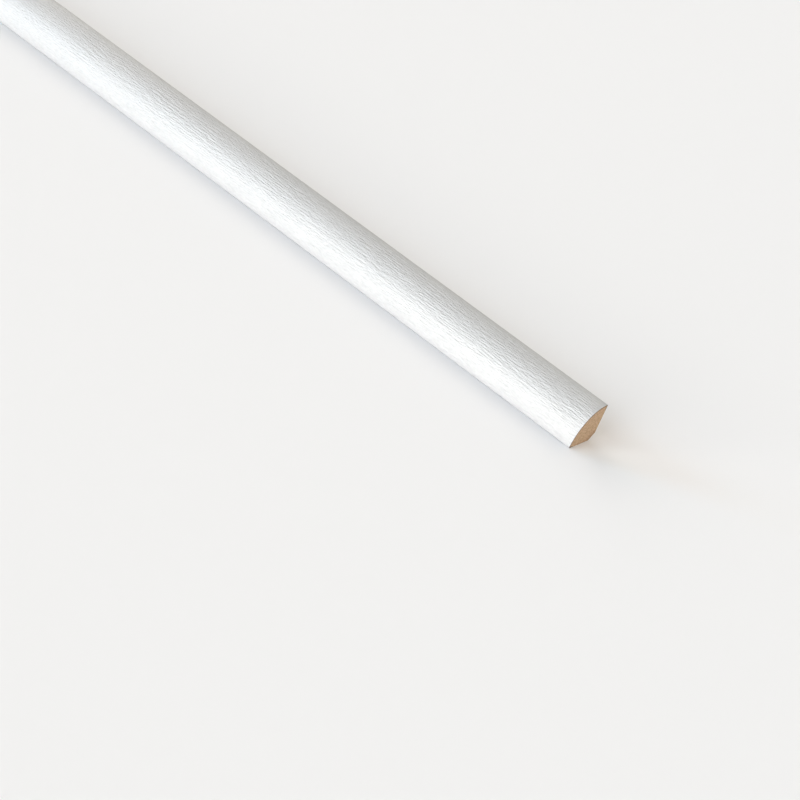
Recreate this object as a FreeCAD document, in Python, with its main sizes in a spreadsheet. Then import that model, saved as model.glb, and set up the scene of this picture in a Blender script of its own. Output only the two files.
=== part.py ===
import FreeCAD, Part
import math
import os
import Sketcher

# Quarter round moulding: a fibreboard bar with a decorative foil glued over its round face.
# The bar lies on one flat back, and its other flat back stands upright at the wall side.
# Frame, in millimetres: +X runs along the stock to its near cut end, +Y to the wall, +Z up.
# The origin is on the floor, under the middle of the bar's length and of its width.

# The driving sizes of the moulding, in millimetres.
SIZES = {
    # The length that the stock is sold in.
    "bar_length": 2400.0,
    # Each flat back's full width, which is also the radius of the round face.
    "leg_width": 18.0,
    # The decorative foil with its backing.
    "foil_thickness": 0.3,
    # The foil's outer radius where it is turned round a tip of the section.
    "tip_radius": 0.5,
    # How far the turned foil reaches in from the tip over each flat back.
    "lap_reach": 3.0,
    # The flat cut along the back corner, measured along each back. It clears a crooked room corner.
    "back_relief": 3.2,
}

# Names of the points of a sketched line or arc.
START, END, CENTRE = range(1, 4)

# The sketch's own axes and the point where they cross, which is the section's sharp back corner.
FLOOR_AXIS, WALL_AXIS = range(-1, -3, -1)
BACK_CORNER = (FLOOR_AXIS, START)


def make_size_sheet(document):
    """Writes the driving sizes to a sheet, one row each, with the size's name as the alias."""
    sheet = document.addObject("Spreadsheet::Sheet", "Sizes")
    for row, (name, value) in enumerate(SIZES.items(), start=1):
        sheet.set(f"A{row}", name)
        sheet.set(f"B{row}", str(value))
        sheet.setAlias(f"B{row}", name)
    return sheet


def add_line(sketch, start, end):
    """A straight stretch of an outline."""
    line = Part.LineSegment(FreeCAD.Vector(*start), FreeCAD.Vector(*end))
    return sketch.addGeometry(line, False)


def add_arc(sketch, centre, start, end):
    """A round stretch of an outline, counterclockwise from start to end."""
    circle = Part.Circle(FreeCAD.Vector(*centre), FreeCAD.Vector(0, 0, 1), math.dist(centre, start))
    first = math.atan2(start[1] - centre[1], start[0] - centre[0])
    last = math.atan2(end[1] - centre[1], end[0] - centre[0])
    if last < first:
        last += 2 * math.pi
    return sketch.addGeometry(Part.ArcOfCircle(circle, first, last), False)


def relate(sketch, kind, *items):
    """Ties pieces of an outline to each other, with no size."""
    sketch.addConstraint(Sketcher.Constraint(kind, *items))


def set_size(sketch, kind, *items, formula):
    """Gives a stretch of an outline a size that follows the sheet."""
    value = float(sketch.evalExpression(formula))
    index = sketch.addConstraint(Sketcher.Constraint(kind, *items, value))
    sketch.setExpression(f"Constraints[{index}]", formula)


def draw_wrap(sketch, depth, depth_formula):
    """Draws the open outline that lies at one depth under the foil's outer face.

    It runs from the lap on the wall side over the wall tip, the round face and the floor tip
    to the lap on the floor side. At depth 0 it is the outside of the moulding, and at the
    foil's thickness it is the seat where the foil meets the board.
    Returns the two lap lines.
    """
    radius = SIZES["leg_width"]
    tip = SIZES["tip_radius"]
    lap_end = radius - SIZES["lap_reach"]

    # A tip's arc touches a flat back and the round face, so its centre is one tip radius off
    # the back and a tip radius short of the face.
    along = math.sqrt((radius - tip) ** 2 - tip ** 2)
    reach = (radius - depth) / (radius - tip)
    floor_centre = (-along, tip)
    wall_centre = (-tip, along)
    floor_join = (-along * reach, tip * reach)
    wall_join = (-tip * reach, along * reach)

    wall_lap = add_line(sketch, (-depth, lap_end), (-depth, along))
    wall_tip = add_arc(sketch, wall_centre, (-depth, along), wall_join)
    face = add_arc(sketch, (0, 0), wall_join, floor_join)
    floor_tip = add_arc(sketch, floor_centre, floor_join, (-along, depth))
    floor_lap = add_line(sketch, (-along, depth), (-lap_end, depth))

    relate(sketch, "Vertical", wall_lap)
    relate(sketch, "Tangent", wall_lap, END, wall_tip, START)
    relate(sketch, "Tangent", wall_tip, END, face, START)
    relate(sketch, "Tangent", face, END, floor_tip, START)
    relate(sketch, "Tangent", floor_tip, END, floor_lap, START)
    relate(sketch, "Horizontal", floor_lap)
    relate(sketch, "Coincident", face, CENTRE, *BACK_CORNER)

    set_size(sketch, "Radius", face, formula=f"Sizes.leg_width - {depth_formula}")
    set_size(sketch, "Radius", wall_tip, formula=f"Sizes.tip_radius - {depth_formula}")
    set_size(sketch, "Radius", floor_tip, formula=f"Sizes.tip_radius - {depth_formula}")
    set_size(
        sketch, "DistanceY", *BACK_CORNER, wall_lap, START, formula="Sizes.leg_width - Sizes.lap_reach"
    )
    set_size(
        sketch, "DistanceX", floor_lap, END, *BACK_CORNER, formula="Sizes.leg_width - Sizes.lap_reach"
    )
    if depth == 0:
        relate(sketch, "PointOnObject", wall_lap, START, WALL_AXIS)
        relate(sketch, "PointOnObject", floor_lap, END, FLOOR_AXIS)
    else:
        set_size(sketch, "DistanceX", wall_lap, START, *BACK_CORNER, formula=depth_formula)
        set_size(sketch, "DistanceY", *BACK_CORNER, floor_lap, END, formula=depth_formula)
    return wall_lap, floor_lap


def draw_foil_section(sketch):
    """The foil is a thin closed band: its outer face, its glued face and its two cut edges."""
    lap_end = SIZES["leg_width"] - SIZES["lap_reach"]
    thickness = SIZES["foil_thickness"]

    outer_wall_lap, outer_floor_lap = draw_wrap(sketch, 0, "0")
    glued_wall_lap, glued_floor_lap = draw_wrap(sketch, thickness, "Sizes.foil_thickness")

    wall_edge = add_line(sketch, (0, lap_end), (-thickness, lap_end))
    relate(sketch, "Coincident", wall_edge, START, outer_wall_lap, START)
    relate(sketch, "Coincident", wall_edge, END, glued_wall_lap, START)

    floor_edge = add_line(sketch, (-lap_end, 0), (-lap_end, thickness))
    relate(sketch, "Coincident", floor_edge, START, outer_floor_lap, END)
    relate(sketch, "Coincident", floor_edge, END, glued_floor_lap, END)


def draw_board_section(sketch):
    """The board is the quarter round under the foil, with two flat backs and a relief cut.

    Each back has a shallow step where the foil's lap lies, so lap and back are flush.
    """
    lap_end = SIZES["leg_width"] - SIZES["lap_reach"]
    thickness = SIZES["foil_thickness"]
    relief = SIZES["back_relief"]

    wall_seat, floor_seat = draw_wrap(sketch, thickness, "Sizes.foil_thickness")

    floor_step = add_line(sketch, (-lap_end, thickness), (-lap_end, 0))
    relate(sketch, "Coincident", floor_step, START, floor_seat, END)
    relate(sketch, "Vertical", floor_step)
    relate(sketch, "PointOnObject", floor_step, END, FLOOR_AXIS)

    floor_back = add_line(sketch, (-lap_end, 0), (-relief, 0))
    relate(sketch, "Coincident", floor_back, START, floor_step, END)
    relate(sketch, "PointOnObject", floor_back, END, FLOOR_AXIS)
    set_size(sketch, "DistanceX", floor_back, END, *BACK_CORNER, formula="Sizes.back_relief")

    corner_cut = add_line(sketch, (-relief, 0), (0, relief))
    relate(sketch, "Coincident", corner_cut, START, floor_back, END)
    relate(sketch, "PointOnObject", corner_cut, END, WALL_AXIS)
    set_size(sketch, "DistanceY", *BACK_CORNER, corner_cut, END, formula="Sizes.back_relief")

    wall_back = add_line(sketch, (0, relief), (0, lap_end))
    relate(sketch, "Coincident", wall_back, START, corner_cut, END)
    relate(sketch, "PointOnObject", wall_back, END, WALL_AXIS)

    wall_step = add_line(sketch, (0, lap_end), (-thickness, lap_end))
    relate(sketch, "Coincident", wall_step, START, wall_back, END)
    relate(sketch, "Horizontal", wall_step)
    relate(sketch, "Coincident", wall_step, END, wall_seat, START)


def run_section_along_bar(document, label, draw_section):
    """Makes one piece of the moulding: its section, drawn upright and run along the whole bar."""
    body = document.addObject("PartDesign::Body", label)
    body.Label = label

    sketch = body.newObject("Sketcher::SketchObject", f"{label}_section")
    for feature in body.Origin.OriginFeatures:
        if feature.Role == "YZ_Plane":
            sketch.AttachmentSupport = [(feature, "")]
    sketch.MapMode = "FlatFace"
    draw_section(sketch)

    pad = body.newObject("PartDesign::Pad", f"{label}_run")
    pad.Profile = sketch
    pad.setExpression("Length", "Sizes.bar_length")
    body.Tip = pad

    # The section's back corner goes to the wall side, and the bar is centred on its length.
    body.setExpression("Placement.Base.x", "-Sizes.bar_length / 2")
    body.setExpression("Placement.Base.y", "Sizes.leg_width / 2")
    return body


def check_document(document, bodies):
    """Stops if a feature failed, a section isn't held by its sizes, or a piece isn't one solid."""
    for item in document.Objects:
        if "Invalid" in item.State or "Error" in item.State:
            raise RuntimeError(f"{item.Name} failed: {item.State}")
        if item.TypeId == "Sketcher::SketchObject" and not item.FullyConstrained:
            raise RuntimeError(f"{item.Name} isn't held by its sizes")
    for body in bodies:
        if body.Shape.isNull() or not body.Shape.isValid():
            raise RuntimeError(f"{body.Label} has no valid shape")
        if len(body.Shape.Solids) != 1:
            raise RuntimeError(f"{body.Label} has {len(body.Shape.Solids)} solids")


def write_parts(bodies):
    """Writes each piece to its own file and prints its place and volume."""
    os.makedirs("parts", exist_ok=True)
    for body in bodies:
        body.Shape.exportStep(f"parts/{body.Label}.step")
        box = body.Shape.BoundBox
        print(
            f"{body.Label}: volume {body.Shape.Volume:.1f} mm3,"
            f" x {box.XMin:.2f} to {box.XMax:.2f},"
            f" y {box.YMin:.2f} to {box.YMax:.2f},"
            f" z {box.ZMin:.2f} to {box.ZMax:.2f}"
        )


document = FreeCAD.newDocument("quarter_round_moulding")
make_size_sheet(document)
document.recompute()

mdf_core = run_section_along_bar(document, "mdf_core", draw_board_section)
foil_wrap = run_section_along_bar(document, "foil_wrap", draw_foil_section)
document.recompute()

check_document(document, [mdf_core, foil_wrap])
write_parts([mdf_core, foil_wrap])
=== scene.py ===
# %% [markdown]
# This lesson dresses one length of quarter round moulding: a fibreboard bar with a silver-white
# foil glued over its round face. The solids that carry the real sizes come first, as a fixed frame,
# and every piece that is made below is set against that frame. Nothing is moved or resized to fit.

# %% Load the fixed frame
import math

import bpy
import numpy as np
from mathutils import Matrix, Vector


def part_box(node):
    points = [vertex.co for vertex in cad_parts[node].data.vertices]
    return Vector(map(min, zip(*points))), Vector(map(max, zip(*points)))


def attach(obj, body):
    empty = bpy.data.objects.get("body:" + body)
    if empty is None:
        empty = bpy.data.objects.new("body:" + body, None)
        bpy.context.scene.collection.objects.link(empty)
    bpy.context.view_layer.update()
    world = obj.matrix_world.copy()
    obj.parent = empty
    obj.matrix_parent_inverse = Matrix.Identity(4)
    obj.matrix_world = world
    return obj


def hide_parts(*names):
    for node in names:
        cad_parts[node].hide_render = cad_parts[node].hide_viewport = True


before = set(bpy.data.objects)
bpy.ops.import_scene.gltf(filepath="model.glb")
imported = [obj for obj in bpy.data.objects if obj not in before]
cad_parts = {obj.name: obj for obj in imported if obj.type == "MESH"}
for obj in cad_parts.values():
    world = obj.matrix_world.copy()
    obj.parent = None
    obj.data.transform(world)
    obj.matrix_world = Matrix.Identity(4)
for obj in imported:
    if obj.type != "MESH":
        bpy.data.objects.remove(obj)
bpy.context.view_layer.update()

MM = 0.001
print("solid pieces:", sorted(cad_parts))

# %% [markdown]
# The section of the bar is a quarter circle with two flat backs. A few sizes describe it, and the
# frame gives where it lies: along X, with its sharp back corner low down on the wall side. We keep
# the sizes as named values, so each curve below is worked out instead of typed in as points.

# %% The sizes of the section
LEG = 18.0 * MM
FOIL_THICKNESS = 0.3 * MM
TIP_RADIUS = 0.5 * MM
LAP_REACH = 3.0 * MM
BACK_RELIEF = 3.2 * MM

foil_low, foil_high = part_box("foil_wrap")
PHOTO_END = foil_high.x
HIDDEN_END = foil_low.x
BACK_CORNER = (foil_high.y, foil_low.z)
print("the back corner is at y, z in mm:", [round(side / MM, 2) for side in BACK_CORNER])

# %% [markdown]
# The foil runs from a short lap on the upright back, round the upper tip, down the quarter circle,
# round the lower tip and under the bar. One helper gives that open line at any depth below the
# foil's outer face, so the foil's two faces and the board under it all come from the same curve.
# It spaces the points evenly along each stretch, because the fine grain needs even steps.

# %% A helper for the line round the section
QUARTER_TURN = math.pi / 2


def arc(centre, radius, first, last, steps):
    """Points on a circle from one angle to another, in radians, without the last one."""
    angles = np.linspace(first, last, steps, endpoint=False)
    return np.column_stack([
        centre[0] + radius * np.cos(angles),
        centre[1] + radius * np.sin(angles),
    ])


def wrap_line(depth, face_steps, tip_steps, lap_steps):
    """The line of the foil at one depth: wall lap, wall tip, round face, floor tip, floor lap.

    Each point is (distance from the back corner towards the room, height), in metres.
    """
    along = math.sqrt((LEG - TIP_RADIUS) ** 2 - TIP_RADIUS ** 2)
    turn = math.atan2(TIP_RADIUS, along)
    lap_end = LEG - LAP_REACH
    tip = TIP_RADIUS - depth
    wall_lap = np.column_stack([
        np.full(lap_steps, depth),
        np.linspace(lap_end, along, lap_steps, endpoint=False),
    ])
    wall_tip = arc((TIP_RADIUS, along), tip, 2 * QUARTER_TURN, QUARTER_TURN - turn, tip_steps)
    face = arc((0, 0), LEG - depth, QUARTER_TURN - turn, turn, face_steps)
    floor_tip = arc((along, TIP_RADIUS), tip, turn, -QUARTER_TURN, tip_steps)
    floor_lap = np.column_stack([
        np.linspace(along, lap_end, lap_steps + 1),
        np.full(lap_steps + 1, depth),
    ])
    return np.vstack([wall_lap, wall_tip, face, floor_tip, floor_lap])


outer_line = wrap_line(0.0, face_steps=136, tip_steps=7, lap_steps=2)
glued_line = wrap_line(FOIL_THICKNESS, face_steps=24, tip_steps=4, lap_steps=1)
print("points round the outer face:", len(outer_line), "and round the glued face:", len(glued_line))

# %% [markdown]
# The foil is pressed with a brushed grain: broken grooves, about half a millimetre wide and a few
# millimetres long, that run along the bar and waver a little. Such a relief could be bump alone,
# but then the edge of the bar stays perfectly straight and a close view looks painted. Here it is
# real relief. A small noise function with long narrow cells gives the grooves, and each point of
# the face is pushed in by it. Nothing is pushed out, so the bar keeps its true size.

# %% A noise with long narrow cells
chance = np.random.default_rng(seed=18)


def ease(share):
    """A smooth rise from 0 to 1 that starts and ends level."""
    return share * share * (3 - 2 * share)


def cell_noise(along, across, length, width):
    """Smooth random heights from 0 to 1, in cells of one length and width."""
    u = along / length
    v = across / width
    u = u - u.min()
    v = v - v.min()
    table = chance.random((int(u.max()) + 2, int(v.max()) + 2))
    i = u.astype(int)
    j = v.astype(int)
    part_along = ease(u - i)
    part_across = ease(v - j)
    near = table[i, j] * (1 - part_across) + table[i, j + 1] * part_across
    far = table[i + 1, j] * (1 - part_across) + table[i + 1, j + 1] * part_across
    return near * (1 - part_along) + far * part_along


# %% [markdown]
# One layer of noise would look like a woven cloth, because all its grooves have the same size. On
# the real foil some lines run longer than others, and some places are pressed deeper. So three
# layers are mixed: the grooves, longer veins among them, and wide patches that set their depth.

# %% The depth of the grain
GRAIN_DEPTH = 0.15 * MM
GROOVE_LENGTH = 3.8 * MM
GROOVE_WIDTH = 0.45 * MM

# The noise turns into a groove from this height on, and reaches its full depth over this slope.
GROOVE_START = 0.3
GROOVE_SLOPE = 0.4

# Longer and wider veins give a fifth of the depth.
VEIN_SHARE = 0.2
VEIN_LENGTH = 3 * GROOVE_LENGTH
VEIN_WIDTH = 1.7 * GROOVE_WIDTH

# In some patches the grain is pressed only half as deep.
PATCH_SHARE = 0.5
PATCH_LENGTH = 4 * GROOVE_LENGTH
PATCH_WIDTH = 8 * GROOVE_WIDTH

# A slow sideways waver keeps the grooves from being ruled lines.
WAVER = 0.5 * MM
WAVER_LENGTH = 40 * MM
WAVER_WIDTH = 6 * MM


def pressed_grain(x, girth):
    """How deep the grain is pressed at each point, in metres."""
    bend = (cell_noise(x, girth, WAVER_LENGTH, WAVER_WIDTH) - 0.5) * WAVER
    grooves = cell_noise(x, girth + bend, GROOVE_LENGTH, GROOVE_WIDTH)
    grooves = np.clip((grooves - GROOVE_START) / GROOVE_SLOPE, 0, 1)
    veins = cell_noise(x, girth + bend, VEIN_LENGTH, VEIN_WIDTH)
    patches = cell_noise(x, girth, PATCH_LENGTH, PATCH_WIDTH)
    mixed = (1 - VEIN_SHARE) * grooves + VEIN_SHARE * veins
    return GRAIN_DEPTH * mixed * (1 - PATCH_SHARE + PATCH_SHARE * patches)


print("grooves are", GROOVE_LENGTH / MM, "mm long and up to", GRAIN_DEPTH / MM, "mm deep")

# %% [markdown]
# A groove needs mesh rows about a millimetre apart. Over the whole 2.4 m that would make more than
# four hundred thousand faces, and the photograph shows only the last 300 mm of the bar. So the rows
# are close there and wide apart over the rest, which keeps the mesh light.

# %% Where the rows of the foil lie
FINE_LENGTH = 330 * MM
FINE_STEP = 1.1 * MM
COARSE_STEP = 13.0 * MM

fine_rows = np.arange(0, FINE_LENGTH, FINE_STEP)
bar_length = PHOTO_END - HIDDEN_END
coarse_count = int(round((bar_length - FINE_LENGTH) / COARSE_STEP))
coarse_rows = np.linspace(FINE_LENGTH, bar_length, coarse_count + 1)
rows = PHOTO_END - np.concatenate([fine_rows, coarse_rows])
print("rows along the bar:", len(rows))

# %% [markdown]
# Now the grain is pressed into the outer face. It fades out towards both tips, as on the real bar,
# so that the edges run clean and the flat backs stay flat. Each point moves straight towards the
# middle of the quarter circle, because that is the way a press roll pushes the foil.

# %% Press the grain into the outer face
PLAIN_RIM = math.radians(4.0)
FADE = math.radians(9.0)


def place(points):
    """Turns section points into y, z places in the frame."""
    return np.stack([BACK_CORNER[0] - points[..., 0], BACK_CORNER[1] + points[..., 1]], axis=-1)


steps = np.linalg.norm(np.diff(outer_line, axis=0), axis=1)
girth = np.concatenate([[0], np.cumsum(steps)])
x_grid, girth_grid = np.meshgrid(rows, girth, indexing="ij")

bearing = np.arctan2(outer_line[:, 1], outer_line[:, 0])
off_tips = np.minimum(bearing, QUARTER_TURN - bearing)
depth_grid = pressed_grain(x_grid, girth_grid) * np.clip((off_tips - PLAIN_RIM) / FADE, 0, 1)
inward = -outer_line / np.linalg.norm(outer_line, axis=1)[:, None]
outer_places = outer_line[None, :, :] + inward[None, :, :] * depth_grid[:, :, None]
print("the deepest groove, mm:", round(depth_grid.max() / MM, 3))

# %% [markdown]
# The foil becomes one closed mesh. Its outer face has many columns for the grain, and its glued
# face only a few, because nobody sees it. Both faces share the same rows, so the long edges of the
# laps close with plain quads, and each sawn end closes with one flat polygon.

# %% A helper that makes a piece
def new_piece(name, points, faces, smooth_faces):
    """Makes a mesh object and smooths its first faces."""
    mesh = bpy.data.meshes.new(name)
    mesh.from_pydata([tuple(point) for point in points], [], faces)
    mesh.polygons.foreach_set("use_smooth", [index < smooth_faces for index in range(len(faces))])
    mesh.update()
    piece = bpy.data.objects.new(name, mesh)
    bpy.context.collection.objects.link(piece)
    print(name, "has", len(points), "points and", len(faces), "faces")
    return piece


# %% Join the two faces of the foil
SHARP_ANGLE = math.radians(50)

glued_yz = np.broadcast_to(place(glued_line), (len(rows), len(glued_line), 2))
ring_yz = np.concatenate([place(outer_places), glued_yz[:, ::-1, :]], axis=1)
ring_size = ring_yz.shape[1]
ring_x = np.broadcast_to(rows[:, None, None], (len(rows), ring_size, 1))
foil_points = np.concatenate([ring_x, ring_yz], axis=2).reshape(-1, 3)

foil_faces = []
for row in range(len(rows) - 1):
    here = row * ring_size
    there = here + ring_size
    for column in range(ring_size):
        beside = (column + 1) % ring_size
        foil_faces.append((here + column, here + beside, there + beside, there + column))
side_faces = len(foil_faces)
last_ring = (len(rows) - 1) * ring_size
foil_faces.append(tuple(range(ring_size - 1, -1, -1)))
foil_faces.append(tuple(range(last_ring, last_ring + ring_size)))

foil_skin = new_piece("foil_skin", foil_points, foil_faces, side_faces)
foil_skin.data.set_sharp_from_angle(angle=SHARP_ANGLE)
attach(foil_skin, "root")
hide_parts("foil_wrap")

# %% [markdown]
# The board under the foil is fibreboard: wood fibres pressed with resin, even and matte, with a
# fine mottle. It shows at the two sawn ends and on the flat backs. Its outline uses the foil's own
# line for the seat, so the two pieces touch all round, and adds the two backs and the corner cut.

# %% The outline of the board
BACK_STEPS = 14
CUT_STEPS = 6


def board_outline(seat_steps):
    """The closed outline: the foil's seat, the floor back, the corner cut, the wall back."""
    seat = wrap_line(FOIL_THICKNESS, face_steps=seat_steps, tip_steps=3, lap_steps=4)
    lap_end = LEG - LAP_REACH
    flat = np.zeros(BACK_STEPS)
    floor_back = np.column_stack([np.linspace(lap_end, BACK_RELIEF, BACK_STEPS), flat])
    corner_cut = np.column_stack([
        np.linspace(BACK_RELIEF, 0, CUT_STEPS)[1:-1],
        np.linspace(0, BACK_RELIEF, CUT_STEPS)[1:-1],
    ])
    wall_back = np.column_stack([flat, np.linspace(BACK_RELIEF, lap_end, BACK_STEPS)])
    return np.vstack([seat, floor_back, corner_cut, wall_back])


outline = board_outline(seat_steps=90)
outline_size = len(outline)
print("points round the board:", outline_size)

# %% [markdown]
# A saw leaves fibreboard slightly rough. A flat polygon would look cut with a knife, so each end
# gets its own fine mesh: rings that shrink from the outline to the heart of the section. They
# follow the section exactly, and the roughness pushes their points in, never out.

# %% Helpers for a sawn end
SAW_DEPTH = 0.06 * MM
SAW_GRAIN = 0.35 * MM
END_RINGS = 34

# The heart lies a little inside the middle of the legs, so the rings shrink evenly towards it.
HEART_SHARE = 0.45
HEART = np.array([LEG * HEART_SHARE, LEG * HEART_SHARE])


def sawn_end(x, facing):
    """One sawn end as rings from the outline to the heart of the section, slightly rough."""
    points = []
    for ring in range(END_RINGS):
        share = 1 - ring / END_RINGS
        spots = place(HEART + (outline - HEART) * share)
        rough = cell_noise(spots[:, 0], spots[:, 1], SAW_GRAIN, SAW_GRAIN) * SAW_DEPTH
        # The first ring is the outline, which stays true.
        if ring == 0:
            rough = rough * 0
        points.append(np.column_stack([x - facing * rough, spots]))
    points.append(np.array([[x - facing * SAW_DEPTH / 2, *place(HEART)]]))
    return np.vstack(points)


def end_faces(first, flip):
    """Quads between the rings and triangles to the heart point."""
    faces = []
    for ring in range(END_RINGS):
        start = first + ring * outline_size
        for spot in range(outline_size):
            a = start + spot
            b = start + (spot + 1) % outline_size
            if ring < END_RINGS - 1:
                faces.append((a, b, b + outline_size, a + outline_size))
            else:
                faces.append((a, b, first + END_RINGS * outline_size))
    if flip:
        faces = [face[::-1] for face in faces]
    return faces


print("rings on each sawn end:", END_RINGS)

# %% [markdown]
# The board is one bar, so it becomes one closed mesh: the two sawn ends, and between them one long
# quad for each point of the outline. The sides need no more rows than that, because the board runs
# straight and its backs are plain.

# %% Build the board with its two sawn ends
photo_points = sawn_end(PHOTO_END, 1)
hidden_points = sawn_end(HIDDEN_END, -1)
board_points = np.vstack([photo_points, hidden_points])

offset = len(photo_points)
board_faces = []
for spot in range(outline_size):
    beside = (spot + 1) % outline_size
    board_faces.append((spot, beside, offset + beside, offset + spot))
board_faces += end_faces(0, True) + end_faces(offset, False)

board = new_piece("fibreboard_bar", board_points, board_faces, 0)
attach(board, "root")
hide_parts("mdf_core")

# %% [markdown]
# A finish could be a photograph laid over the mesh, but that shows its pixels close up and has the
# light of another room in it. Here each finish is made of nodes, which stay sharp at any distance.
# These helpers add a node, set its sockets and link its inputs in one call, so that each finish
# below reads as a short list of what it is made of.

# %% Helpers for a material and its nodes
def new_material(name, colour, roughness):
    """A material with one plain shader, whose fixed values sit on the shader itself."""
    material = bpy.data.materials.new(name)
    material.use_nodes = True
    shader = material.node_tree.nodes["Principled BSDF"]
    shader.inputs["Base Color"].default_value = (*colour, 1)
    shader.inputs["Roughness"].default_value = roughness
    return material, material.node_tree, shader


def add_node(tree, kind, settings=(), **inputs):
    """Adds a node, sets its settings, and fills each input with a value or a link."""
    node = tree.nodes.new(kind)
    for name, value in settings:
        setattr(node, name, value)
    for name, value in inputs.items():
        socket = node.inputs[name.replace("_", " ")]
        if isinstance(value, bpy.types.NodeSocket):
            tree.links.new(value, socket)
        else:
            socket.default_value = value
    return node


# %% [markdown]
# The two finishes of this bar are alike in how they are made up: a tint that varies a little, a
# darker place multiplied over it, and a fine relief. Each of these is one short helper. They all
# start from the place of a point in the frame, so a pattern has its true size on the bar.

# %% Helpers for what the finishes share
PLAIN = (1.0, 1.0, 1.0)

# Most of a noise lies between these heights, so the colour ramps run from one to the other.
NOISE_LOW = 0.3
NOISE_MIDDLE = 0.5
NOISE_HIGH = 0.7


def add_place(tree):
    """The place of a point in the frame, in metres."""
    return add_node(tree, "ShaderNodeTexCoord").outputs["Object"]


def add_noise(tree, spot, **look):
    """A noise from 0 to 1 that is fixed in the frame."""
    return add_node(tree, "ShaderNodeTexNoise", Vector=spot, **look).outputs["Fac"]


def add_range(tree, value, low, high, **target):
    """Spreads a value from 0 at low to 1 at high, or over another target range."""
    spread = add_node(
        tree, "ShaderNodeMapRange", Value=value, From_Min=low, From_Max=high, **target
    )
    return spread.outputs["Result"]


def add_ramp(tree, source, stops):
    """A colour ramp with its stops as (place, colour)."""
    ramp = add_node(tree, "ShaderNodeValToRGB", Fac=source)
    while len(ramp.color_ramp.elements) < len(stops):
        ramp.color_ramp.elements.new(0.5)
    for element, (spot, colour) in zip(ramp.color_ramp.elements, stops):
        element.position = spot
        element.color = (*colour, 1)
    return ramp.outputs["Color"]


def darken(tree, tint, shade):
    """Multiplies a tint by a shade."""
    mix = add_node(
        tree, "ShaderNodeMixRGB", [("blend_type", "MULTIPLY")], Fac=1.0, Color1=tint, Color2=shade
    )
    return mix.outputs["Color"]


def add_bump(tree, shader, height, strength, distance):
    """Bends the light on the surface as if the height stood out by the distance."""
    bump = add_node(tree, "ShaderNodeBump", Height=height, Strength=strength, Distance=distance)
    tree.links.new(bump.outputs["Normal"], shader.inputs["Normal"])


# %% [markdown]
# The foil is a printed and lacquered film with a silver sheen: light grey by itself, satin, and
# nearly white where the light meets it. A metal would mirror the room and a plain paint would look
# chalky, so it gets a small metallic share. Its colour hardly changes: a stretched noise varies it
# by a few hundredths along the grain, and only the lowest edge is painted clearly darker, as shade
# where the foil meets the floor.

# %% The colour of the foil
FOIL_COLOUR = (0.55, 0.55, 0.547)
FOIL_DARK = (0.512, 0.51, 0.505)
FOIL_PALE = (0.588, 0.585, 0.58)
FOIL_ROUGHNESS = 0.41
SILVER_SHARE = 0.2

# A hairline is about four times as long as it is wide.
HAIRLINE_SCALE = (450.0, 2000.0, 2000.0)

foil_finish, tree, shader = new_material("silver_white_foil", FOIL_COLOUR, FOIL_ROUGHNESS)
shader.inputs["Metallic"].default_value = SILVER_SHARE
place_in_frame = add_place(tree)
stretched = add_node(tree, "ShaderNodeMapping", Vector=place_in_frame, Scale=HAIRLINE_SCALE)
hairline = add_noise(tree, stretched.outputs["Vector"], Scale=1.0, Detail=2.0, Roughness=0.55)
foil_tint = add_ramp(tree, hairline, [(NOISE_LOW, FOIL_DARK), (NOISE_HIGH, FOIL_PALE)])

# The lowest edge is painted a little grey, as shade where the foil turns under the bar and meets
# the floor.
CONTACT_SHADE_LOW = 0.1 * MM
CONTACT_SHADE_HIGH = 0.3 * MM
CONTACT_SHADE_COLOUR = (0.45, 0.45, 0.46)

height = add_node(tree, "ShaderNodeSeparateXYZ", Vector=place_in_frame).outputs["Z"]
above_floor = add_range(tree, height, CONTACT_SHADE_LOW, CONTACT_SHADE_HIGH)
contact_shade = add_ramp(tree, above_floor, [(0.0, CONTACT_SHADE_COLOUR), (1.0, PLAIN)])
tree.links.new(darken(tree, foil_tint, contact_shade), shader.inputs["Base Color"])
print("the foil's colour ranges from", FOIL_DARK, "to", FOIL_PALE)

# %% [markdown]
# Between the pressed grooves the foil has hairlines, about two millimetres long and half a
# millimetre wide. They are too shallow to show in the outline, so bump is enough for them: it bends
# the light and needs no mesh. The same noise also varies the gloss, as the brushed sheen does.

# %% The gloss and hairlines of the foil
GLOSSIEST = 0.38
DULLEST = 0.44
HAIRLINE_RELIEF = 0.35 * MM

gloss = add_range(tree, hairline, NOISE_LOW, NOISE_HIGH, To_Min=GLOSSIEST, To_Max=DULLEST)
tree.links.new(gloss, shader.inputs["Roughness"])
add_bump(tree, shader, hairline, strength=1.0, distance=HAIRLINE_RELIEF)
foil_skin.data.materials.append(foil_finish)
print("the foil's finish has", len(tree.nodes), "nodes")

# %% [markdown]
# Where the saw went through, the foil shows its cut edge: a thin dark line of paper and glue along
# the arc. It could be painted onto the end, but the foil's mesh already ends in a true flat face
# of the right thickness, so that face simply gets a dark finish of its own.

# %% The foil's sawn edge
EDGE_COLOUR = (0.10, 0.07, 0.055)
EDGE_DARK = (0.055, 0.04, 0.03)
EDGE_PALE = (0.16, 0.12, 0.095)
EDGE_SLOT = 1

edge_finish, tree, shader = new_material("foil_cut_edge", EDGE_COLOUR, roughness=0.7)
scuff = add_noise(tree, add_place(tree), Scale=1800.0, Detail=2.0)
edge_tint = add_ramp(tree, scuff, [(NOISE_LOW, EDGE_DARK), (NOISE_HIGH, EDGE_PALE)])
tree.links.new(edge_tint, shader.inputs["Base Color"])
foil_skin.data.materials.append(edge_finish)
cut_faces = foil_skin.data.polygons[side_faces:]
for face in cut_faces:
    face.material_index = EDGE_SLOT
print("faces with the sawn edge's finish:", len(cut_faces))

# %% [markdown]
# Fibreboard is a tan felt of fibres. A cut through it shows a soft mottle with tiny darker and
# paler flecks, and no grain direction, so rings or streaks of wood would be wrong here. A noise
# with much fine detail gives the mottle, and a ramp of three browns gives its colours.

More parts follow.
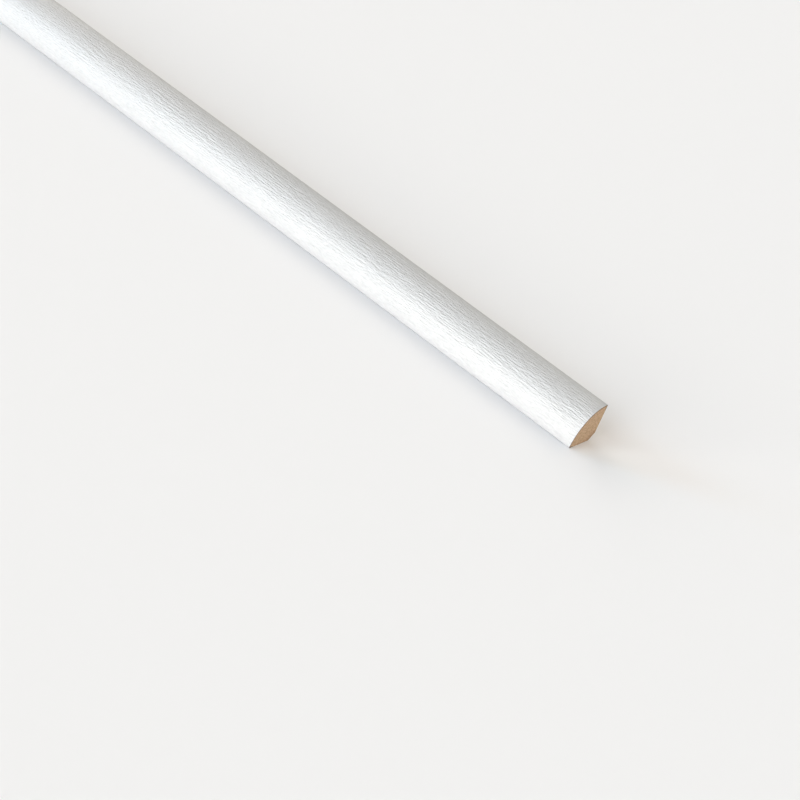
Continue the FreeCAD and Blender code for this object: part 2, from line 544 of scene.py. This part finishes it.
# %% The mottle of the board
BOARD_COLOUR = (0.60, 0.42, 0.26)
BOARD_DARK = (0.37, 0.235, 0.135)
BOARD_MIDDLE = (0.545, 0.375, 0.24)
BOARD_PALE = (0.70, 0.51, 0.345)

board_finish, tree, shader = new_material("fibreboard", BOARD_COLOUR, roughness=0.85)
shader.inputs["Specular IOR Level"].default_value = 0.2
place_in_frame = add_place(tree)
mottle = add_noise(tree, place_in_frame, Scale=1000.0, Detail=4.0, Roughness=0.7)
board_tint = add_ramp(
    tree, mottle,
    [(NOISE_LOW, BOARD_DARK), (NOISE_MIDDLE, BOARD_MIDDLE), (NOISE_HIGH, BOARD_PALE)],
)
print("the board's colour ranges from", BOARD_DARK, "to", BOARD_PALE)

# %% [markdown]
# The board is darker in two places. Round the corner cut it is painted shade, where the board meets
# the floor; a thin rim along the arc is darker on the real bar, where the foil's glue has soaked
# in.
# Both are worked out from the distance to the back corner, so they follow the section at both ends
# and along the backs.

# %% The darker places of the board
CORNER_SHADE_WIDTH = 5 * MM
CORNER_SHADE_COLOUR = (0.74, 0.70, 0.66)
GLUE_RIM = 0.9 * MM
GLUED = (0.5, 0.44, 0.4)
ALONG_BAR_DROPPED = (0.0, 1.0, 1.0)

# How far a point lies from the wall and from the floor, added up.
place_parts = add_node(tree, "ShaderNodeSeparateXYZ", Vector=place_in_frame)
from_wall = add_node(tree, "ShaderNodeMath", [("operation", "SUBTRACT")])
from_wall.inputs[0].default_value = BACK_CORNER[0]
tree.links.new(place_parts.outputs["Y"], from_wall.inputs[1])
from_corner = add_node(tree, "ShaderNodeMath", [("operation", "ADD")])
tree.links.new(from_wall.outputs["Value"], from_corner.inputs[0])
tree.links.new(place_parts.outputs["Z"], from_corner.inputs[1])
# Round the corner cut the board is painted darker, as shade where it meets the floor.
corner_shade_to = BACK_RELIEF + CORNER_SHADE_WIDTH
off_cut = add_range(tree, from_corner.outputs["Value"], BACK_RELIEF, corner_shade_to)
corner_shade = add_ramp(tree, off_cut, [(0.0, CORNER_SHADE_COLOUR), (1.0, PLAIN)])
corner_shaded_tint = darken(tree, board_tint, corner_shade)

# How far a point lies from the back corner in the section, which grows towards the arc.
across_bar = add_node(tree, "ShaderNodeMapping", Vector=place_in_frame, Scale=ALONG_BAR_DROPPED)
off_corner = add_node(tree, "ShaderNodeVectorMath", [("operation", "DISTANCE")])
tree.links.new(across_bar.outputs["Vector"], off_corner.inputs[0])
off_corner.inputs[1].default_value = (0, *BACK_CORNER)
board_radius = LEG - FOIL_THICKNESS
glued = add_range(tree, off_corner.outputs["Value"], board_radius - GLUE_RIM, board_radius)
rim = add_ramp(tree, glued, [(0.0, PLAIN), (1.0, GLUED)])
tree.links.new(darken(tree, corner_shaded_tint, rim), shader.inputs["Base Color"])
print("the glue's rim is", GLUE_RIM / MM, "mm wide")

# %% [markdown]
# The single fibres are finer than the mottle and stand up a little where the saw tore them. A bump
# from a second, smaller noise takes their place. It scatters the light, which keeps the cut dull
# even where a window shines straight on it.

# %% The fibres of the board
FIBRE_RELIEF = 0.08 * MM

fibres = add_noise(tree, place_in_frame, Scale=2600.0, Detail=3.0)
add_bump(tree, shader, fibres, strength=0.5, distance=FIBRE_RELIEF)
board.data.materials.append(board_finish)
print("the board's finish has", len(tree.nodes), "nodes")

# %% [markdown]
# The bar lies on a plain pale floor. It is only a stage, so one big flat sheet does the job. It
# reaches so far that its rim lies outside the picture from every side, and it takes the bar's
# soft shadow.

# %% The floor
FLOOR_REACH = 60.0
FLOOR_COLOUR = (0.89, 0.896, 0.908)

floor_corners = [
    (-FLOOR_REACH, -FLOOR_REACH, 0),
    (FLOOR_REACH, -FLOOR_REACH, 0),
    (FLOOR_REACH, FLOOR_REACH, 0),
    (-FLOOR_REACH, FLOOR_REACH, 0),
]
floor = new_piece("floor", floor_corners, [(0, 1, 2, 3)], 0)
floor_finish, tree, shader = new_material("pale_floor", FLOOR_COLOUR, roughness=0.9)
shader.inputs["Specular IOR Level"].default_value = 0.1
floor.data.materials.append(floor_finish)

# %% [markdown]
# The bar lies in a bright room, whose walls send a little light back from every side and keep the
# shadows from going black. A faint, even world light does the same. It stays faint, because light
# from every side hides the grain.

# %% The faint light of the room
SKY_COLOUR = (1.0, 0.99, 0.97)
SKY_STRENGTH = 0.045

world = bpy.data.worlds.new("room")
bpy.context.scene.world = world
world.use_nodes = True
sky = world.node_tree.nodes["Background"]
sky.inputs["Color"].default_value = (*SKY_COLOUR, 1)
sky.inputs["Strength"].default_value = SKY_STRENGTH
print("the room's own light has a strength of", SKY_STRENGTH)

# %% [markdown]
# Most of the light comes from big soft windows, most of them low. An area lamp beside the bar would
# fade along its 2.4 m, so each window is a sun lamp with a wide angle: it makes a soft shadow and
# reaches the whole bar alike. Three stand on the front side at different heights, and turn the
# lower half of the round face nearly white. A cool one and three warm ones shine along the bar from
# its far end and shape the rest of the face. One behind the bar lights the floor, and one past the
# near end lights the sawn board.

# %% The windows
# How wide a window looks from the bar, in degrees.
WIDE = 30
NARROW = 16


def add_window(name, azimuth, height, colour, energy, width):
    """A soft window. Azimuth 0 is the front side and 90 is the side of the near end, in degrees."""
    window = bpy.data.lights.new(name, "SUN")
    window.color = colour
    window.energy = energy
    window.angle = math.radians(width)
    lamp = bpy.data.objects.new(name, window)
    bpy.context.collection.objects.link(lamp)
    side = math.radians(azimuth)
    rise = math.radians(height)
    towards = Vector((
        math.sin(side) * math.cos(rise), -math.cos(side) * math.cos(rise), math.sin(rise)
    ))
    lamp.rotation_mode = "QUATERNION"
    lamp.rotation_quaternion = towards.to_track_quat("Z", "Y")
    print(name, "at azimuth", azimuth, "and height", height)


add_window("front_window", 0, 15, (1.0, 0.97, 0.95), 1.6, WIDE)
add_window("low_front_window", -25, 5, (1.0, 0.96, 0.9), 1.35, NARROW)
add_window("high_front_window", -30, 38, (0.9, 0.96, 1.0), 0.8, WIDE)
add_window("far_front_window", -60, 14, (0.56, 0.78, 1.0), 1.25, NARROW)
add_window("far_window", -90, 15, (1.0, 0.84, 0.78), 1.1, WIDE)
add_window("high_far_window", -90, 45, (1.0, 0.97, 0.93), 0.22, WIDE)
add_window("far_back_window", -120, 15, (1.0, 0.95, 0.86), 1.15, WIDE)
add_window("back_window", 180, 42, (1.0, 0.94, 0.81), 0.8, WIDE)
add_window("near_window", 105, 25, (1.0, 0.97, 0.92), 1.36, WIDE)

# %% [markdown]
# The camera stands on the front side and looks along the bar from its sawn end. The photograph was
# turned a little, so the camera leans by the same angle. Three plain angles say all of that, and
# they are easier to read and to check than a rotation that was found by eye.

# %% The directions of the camera
VIEW_AZIMUTH = math.radians(28.38)
VIEW_HEIGHT = math.radians(29.08)
LEAN = math.radians(22.86)

forward = Vector((
    -math.sin(VIEW_AZIMUTH) * math.cos(VIEW_HEIGHT),
    math.cos(VIEW_AZIMUTH) * math.cos(VIEW_HEIGHT),
    -math.sin(VIEW_HEIGHT),
))
level_right = forward.cross(Vector((0, 0, 1))).normalized()
level_up = level_right.cross(forward)
right = level_right * math.cos(LEAN) + level_up * math.sin(LEAN)
up = level_up * math.cos(LEAN) - level_right * math.sin(LEAN)
print("the camera looks along", [round(part, 3) for part in forward])

# %% [markdown]
# The camera's place could be typed in as three numbers, but they would say nothing. Here it is
# worked out from what can be seen: the spot in the picture where the bar's back corner touches the
# floor, and how far away that corner is.

# %% The place of the camera
PICTURE = 800
FOCAL_PIXELS = 2224.0
CORNER_DISTANCE = 0.945
CORNER_PIXEL = (591.9, 438.7)

across_picture = (CORNER_PIXEL[0] - PICTURE / 2) / FOCAL_PIXELS * CORNER_DISTANCE
down_picture = (CORNER_PIXEL[1] - PICTURE / 2) / FOCAL_PIXELS * CORNER_DISTANCE
corner_place = Vector((PHOTO_END, *BACK_CORNER))
eye = corner_place - forward * CORNER_DISTANCE - right * across_picture + up * down_picture
print("the camera is at", [round(part, 3) for part in eye])

# %% [markdown]
# A long lens keeps the far part of the bar from shrinking too much, as in the photograph. The
# camera's matrix is written straight from the directions above, so no rotation has to be worked out
# from them. Everything is sharp, because the bar is the subject along its whole length.

# %% The camera
SENSOR_MM = 36.0
FARTHEST_SEEN = 50

camera = bpy.data.cameras.new("camera")
camera.sensor_width = SENSOR_MM
camera.lens = FOCAL_PIXELS / PICTURE * SENSOR_MM
camera.clip_end = FARTHEST_SEEN
camera_object = bpy.data.objects.new("camera", camera)
bpy.context.collection.objects.link(camera_object)
camera_object.matrix_world = Matrix((
    (right.x, up.x, -forward.x, eye.x),
    (right.y, up.y, -forward.y, eye.y),
    (right.z, up.z, -forward.z, eye.z),
    (0, 0, 0, 1),
))
bpy.context.scene.camera = camera_object
bpy.context.scene.view_settings.view_transform = "Standard"
print("the camera has a", round(camera.lens, 1), "mm lens")
